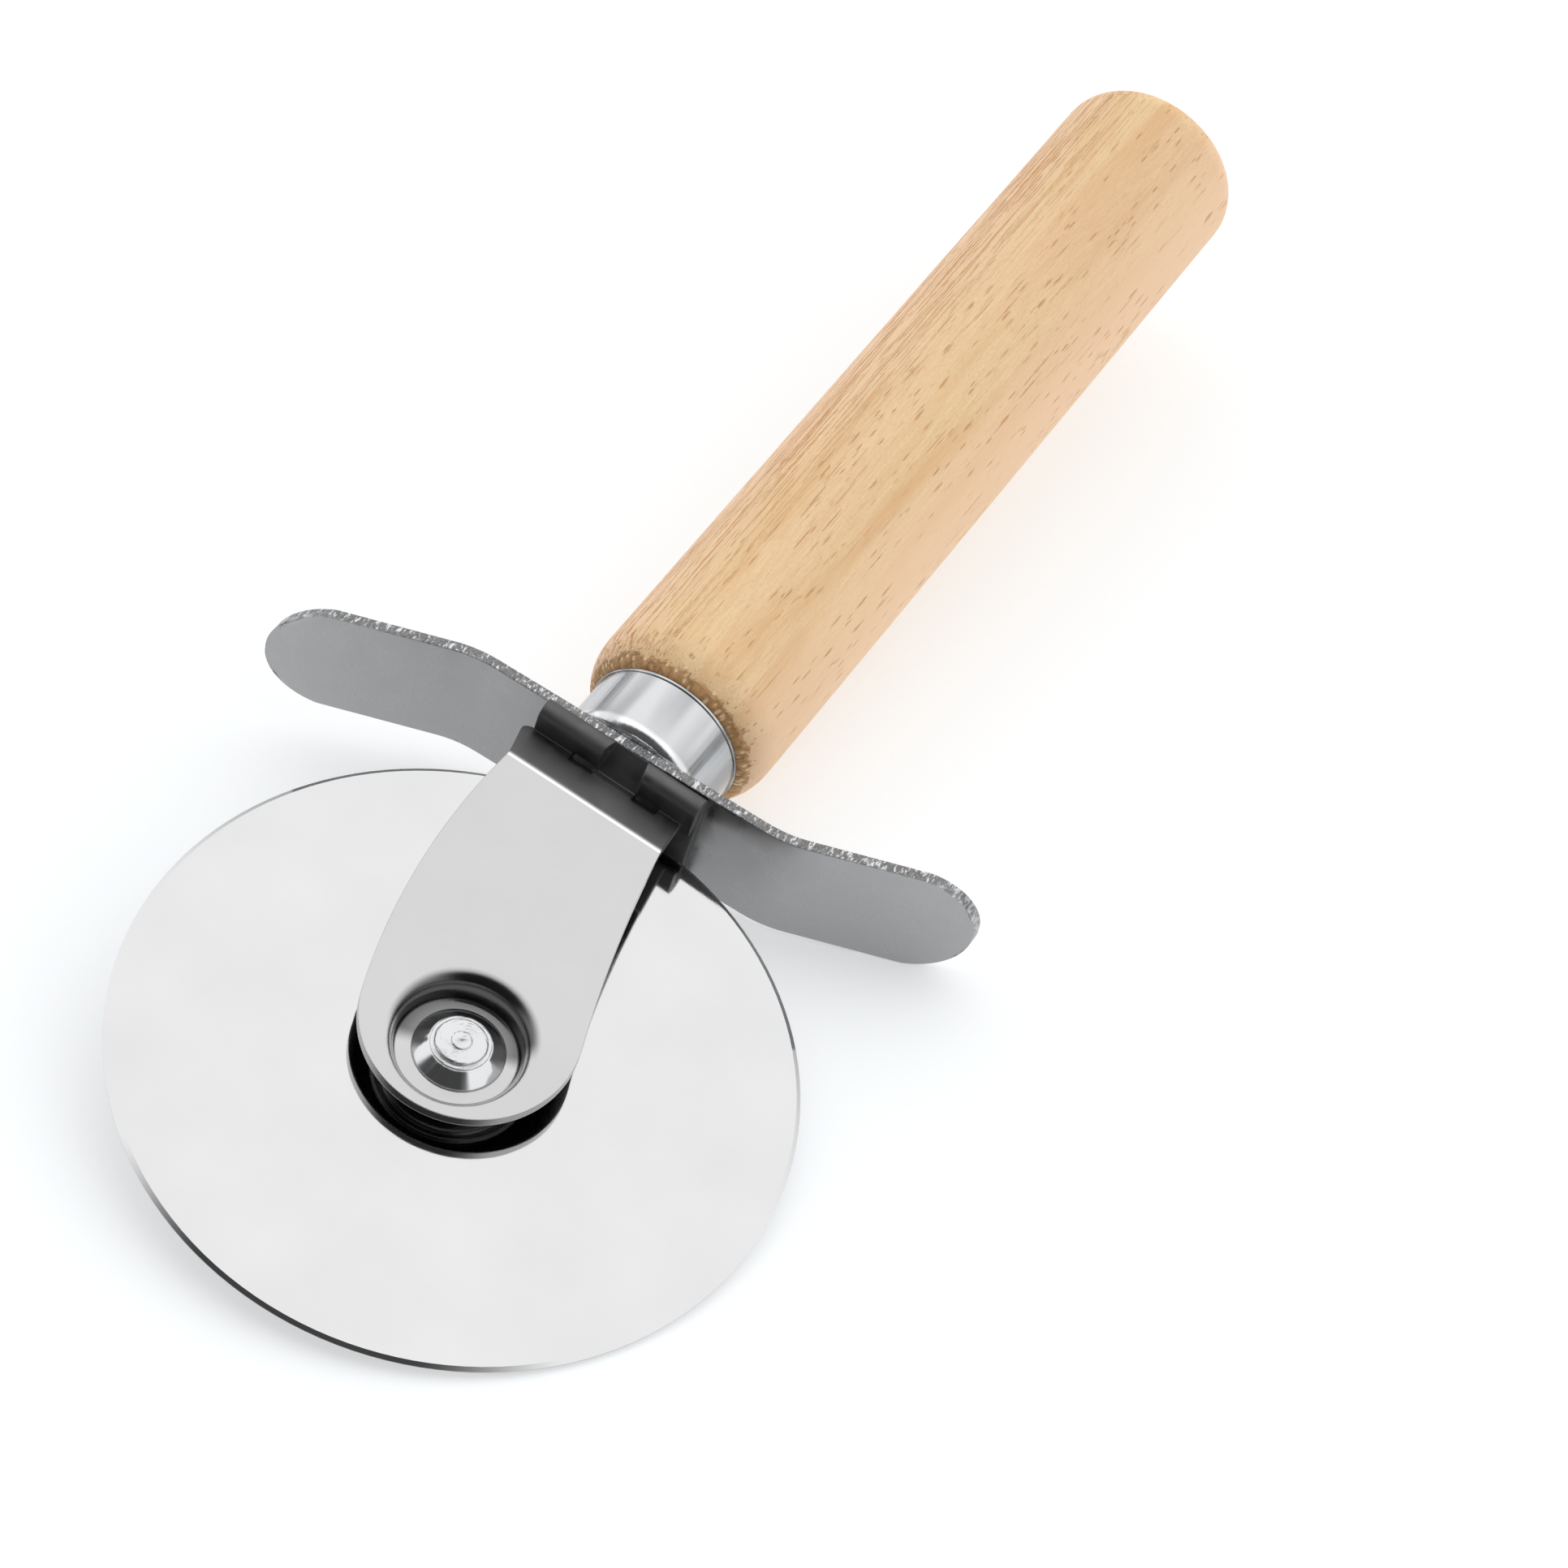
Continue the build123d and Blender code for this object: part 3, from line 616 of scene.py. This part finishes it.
class CUTTER_OT_handle(bpy.types.Operator):
    """Gives the handle its sanded light hardwood, with pores, growth rings and rough end grain"""
    bl_idname = "cutter.handle"
    bl_label = "Handle"

    def execute(self, context):
        look = context.scene.cutter_wood
        finish = Finish("sanded_hardwood")
        sway = finish.noise(finish.scaled((0.012, 0.05, 0.05)), detail=1.0)
        streaks = finish.noise(finish.scaled((0.018, 0.2, 0.2)), detail=3.0, distortion=0.4)
        fibres = finish.noise(finish.scaled((0.25, 5.0, 5.0)), detail=4.0, roughness=0.6)
        base = finish.colours(finish.ramp(streaks, 0.42, 0.62), rgb(look.light), rgb(look.warm))
        base = finish.colours(finish.ramp(sway, 0.4, 0.7, 0.0, 0.7), base, rgb(look.pink))
        base = finish.colours(finish.ramp(fibres, 0.35, 0.7, 0.0, 0.4), base, rgb(look.warm, 0.8))
        speckle = finish.noise(finish.scaled((1.6, 4.0, 4.0)), detail=3.0)
        base = finish.colours(finish.ramp(speckle, 0.5, 0.66, 0.0, 0.3), base, rgb(look.warm, 0.85))
        side = finish.math("ABSOLUTE", finish.parts(finish.facing)[1])
        base = finish.colours(finish.ramp(side, 0.4, 0.9, 0.0, 0.7), base, rgb(look.pink, 1.04))
        pores = self.pores(finish, look)
        base = finish.colours(finish.product(pores, 0.78), base, rgb(look.pore))
        rough, base = self.rough_end(finish, look, base)
        dullness = finish.ramp(fibres, 0.3, 0.7, look.roughness, look.roughness + 0.12)
        finish.set(Base_Color=base, Roughness=dullness)
        texture = finish.relief(fibres, 0.00003)
        texture = finish.relief(finish.math("SUBTRACT", 1.0, pores), 0.00008, over=texture)
        finish.set(Normal=finish.relief(rough, 0.0005, over=texture))
        finish.apply("handle")
        return {"FINISHED"}

    def pores(self, finish, look):
        """Dashes along the grain: broad and middling ones all over, fine ones crowded on the +Y flank."""
        reach = 1.0 / (look.pore_length * PER_METRE)
        flank = finish.ramp(finish.parts(finish.facing)[1], 0.1, 0.7)
        ragged = finish.noise(finish.scaled((0.8, 3.0, 3.0)), detail=2.0)
        # Scale, shift, half width of the dashes, and how far they keep to the flank
        layers = (
            ((reach, 1.25, 1.25), (0.0, 0.0, 0.0), 0.23, 0.0),
            ((reach * 1.4, 2.0, 2.0), (2.0, 6.0, 1.0), 0.22, 0.3),
            ((reach * 0.5, 3.0, 3.0), (3.0, 5.0, 7.0), 0.24, 1.0),
        )
        pores = 0.0
        for scale, shift, size, on_flank in layers:
            cells = finish.cells(finish.scaled(scale, shift=shift))
            frayed = finish.math("ADD", cells, finish.ramp(ragged, 0.3, 0.7, -0.06, 0.06))
            crowd = finish.noise(finish.scaled((0.03, 0.42, 0.42), shift=shift), detail=2.0)
            crowd = finish.math("ADD", crowd, finish.product(flank, on_flank * 0.14))
            rarer = on_flank * 0.06
            grown = finish.ramp(crowd, 0.44 + rarer, 0.56 + rarer)
            dash = finish.product(finish.ramp(frayed, size, size * 0.5), grown)
            pores = finish.math("MAXIMUM", pores, dash)
        lines = finish.noise(finish.scaled((0.06, 3.4, 3.4), shift=(1.0, 2.0, 8.0)), detail=2.0)
        broken = finish.ramp(ragged, 0.4, 0.55, 0.5, 1.0)
        lines = finish.product(finish.ramp(lines, 0.54, 0.6, 0.0, 1.2), broken)
        return finish.math("MAXIMUM", pores, finish.product(lines, flank))

    def rough_end(self, finish, look, base):
        """The torn end grain round the front: its height, and the colours with it laid on."""
        along = finish.parts(finish.point)[0]
        ring = finish.joined(finish.product(finish.handle_angle(), 12.0), along)
        ragged = finish.noise(ring, 0.9, detail=3.0)
        back = finish.math("SUBTRACT", along, FERRULE_HIGH.x)
        edge = finish.math("ADD", back, finish.ramp(ragged, 0.3, 0.7, -0.5, 0.5))
        width = look.end_width * PER_METRE
        cut = finish.ramp(edge, width + 0.15, width - 0.15)
        chips = finish.cells(ring, 1.1)
        flecks = finish.ramp(chips, 0.36, 0.2)
        brown = finish.colours(finish.noise(ring, 1.4, detail=3.0), rgb(look.end), rgb(look.warm, 0.95))
        brown = finish.colours(flecks, brown, rgb(look.light, 1.1))
        fringe = finish.product(finish.ramp(edge, width + 1.1, width + 0.2), flecks)
        base = finish.colours(finish.product(fringe, 0.5), base, rgb(look.pink, 1.1))
        return finish.product(chips, cut), finish.colours(cut, base, brown)


class CUTTER_OT_hidden(bpy.types.Operator):
    """Gives the bush, the washers and the tang their machined finishes"""
    bl_idname = "cutter.hidden"
    bl_label = "Hidden pieces"

    def execute(self, context):
        look = context.scene.cutter_steel
        turned = Finish("turned_steel")
        turned.steel(look.fork, 0.3, look)
        turned.set(Normal=turned.relief(turned.turning_lines(7.0), 0.00002))
        for node in ("wheel_bush", "front_washer", "rear_washer"):
            turned.apply(node)
        drawn = Finish("drawn_tang")
        drawn.steel(look.guard, 0.4, look)
        drawing = drawn.noise(drawn.scaled((0.15, 4.0, 4.0)), detail=3.0)
        drawn.set(Normal=drawn.relief(drawing, 0.00003))
        drawn.apply("tang")
        return {"FINISHED"}


class CUTTER_OT_stage(bpy.types.Operator):
    """Lays the floor under the cutter and sets up the soft light and the camera"""
    bl_idname = "cutter.stage"
    bl_label = "Floor, light and camera"

    def execute(self, context):
        look = context.scene.cutter_studio
        self.lay_floor(look)
        self.pitch_tent(context.scene, look)
        self.place_camera(context.scene, look)
        context.scene.view_settings.view_transform = "Standard"
        return {"FINISHED"}

    def lay_floor(self, look):
        """A plain square of pale paper that the cutter rests on."""
        half = look.floor_size / 2
        corners = [(-half, -half, 0), (half, -half, 0), (half, half, 0), (-half, half, 0)]
        mesh = bpy.data.meshes.new("floor")
        mesh.from_pydata(corners, [], [(0, 1, 2, 3)])
        floor = bpy.data.objects.new("floor", mesh)
        bpy.context.collection.objects.link(floor)
        upward = Vector(look.floor_slope).normalized()
        floor.rotation_euler = upward.to_track_quat("Z", "Y").to_euler()
        floor.location = upward * look.floor_height
        paper = Finish("white_paper")
        fibres = paper.noise(paper.point, 0.8, detail=4.0)
        tone = paper.colours(fibres, rgb(look.floor_colour, 0.985), rgb(look.floor_colour))
        paper.set(Base_Color=tone, Roughness=0.9, Emission_Color=WHITE,
                  Emission_Strength=look.floor_glow)
        mesh.materials.append(paper.material)

    def pitch_tent(self, scene, look):
        """Soft white light all round, weaker near the floor and dark on the tent's open side."""
        scene.world = bpy.data.worlds.new("light_tent")
        scene.world.use_nodes = True
        tent = Shading(scene.world.node_tree)
        direction = tent.place.outputs["Generated"]
        height = tent.vector("DOT_PRODUCT", direction, Vector(look.floor_slope).normalized())
        walls = tent.ramp(height, 0.05, 0.4, look.horizon, 1.0, soft=True)
        middle = Vector(look.opening_side).normalized()
        near = cos(look.opening_spread * OPENING_CORE)
        far = cos(look.opening_spread)
        from_middle = tent.vector("DOT_PRODUCT", direction, middle)
        opening = tent.ramp(from_middle, far, near, 1.0, look.opening, soft=True)
        light = tent.product(tent.product(walls, opening), look.tent)
        background = tent.nodes["Background"].inputs
        tent.feed(background["Strength"], light)
        tent.feed(background["Color"], WHITE)

    def place_camera(self, scene, look):
        """The camera that looks down on the cutter from the blade's end."""
        lens = bpy.data.cameras.new("camera")
        lens.lens = look.lens
        lens.sensor_width = 36.0
        lens.clip_start = 0.01
        camera = bpy.data.objects.new("camera", lens)
        camera.location = look.camera_place
        camera.rotation_euler = Euler(look.camera_turn)
        scene.collection.objects.link(camera)
        scene.camera = camera


# Panel and registration


class CUTTER_PT_panel(bpy.types.Panel):
    """Lists the cutter's finishes and its stage"""
    bl_idname = "CUTTER_PT_panel"
    bl_label = "Round Blade Cutter"
    bl_space_type = "VIEW_3D"
    bl_region_type = "UI"
    bl_category = "Cutter"

    def draw(self, context):
        layout = self.layout
        for operator in OPERATORS:
            layout.operator(operator.bl_idname)
        for name, group in GROUPS.items():
            box = layout.box()
            box.label(text=group.__doc__)
            for setting in group.__annotations__:
                box.prop(getattr(context.scene, name), setting)


OPERATORS = (
    CUTTER_OT_blade,
    CUTTER_OT_fork,
    CUTTER_OT_rivet,
    CUTTER_OT_guard,
    CUTTER_OT_ferrule,
    CUTTER_OT_handle,
    CUTTER_OT_hidden,
    CUTTER_OT_stage,
)
GROUPS = {
    "cutter_wood": CutterWood,
    "cutter_steel": CutterSteel,
    "cutter_studio": CutterStudio,
}


def register():
    for group in GROUPS.values():
        bpy.utils.register_class(group)
    for name, group in GROUPS.items():
        setattr(bpy.types.Scene, name, bpy.props.PointerProperty(type=group))
    for operator in OPERATORS:
        bpy.utils.register_class(operator)
    bpy.utils.register_class(CUTTER_PT_panel)


def unregister():
    bpy.utils.unregister_class(CUTTER_PT_panel)
    for operator in reversed(OPERATORS):
        bpy.utils.unregister_class(operator)
    for name in GROUPS:
        delattr(bpy.types.Scene, name)
    for group in reversed(list(GROUPS.values())):
        bpy.utils.unregister_class(group)


def main():
    register()
    bpy.ops.cutter.blade()
    bpy.ops.cutter.fork()
    bpy.ops.cutter.rivet()
    bpy.ops.cutter.guard()
    bpy.ops.cutter.ferrule()
    bpy.ops.cutter.handle()
    bpy.ops.cutter.hidden()
    bpy.ops.cutter.stage()


if __name__ == "__main__":
    main()
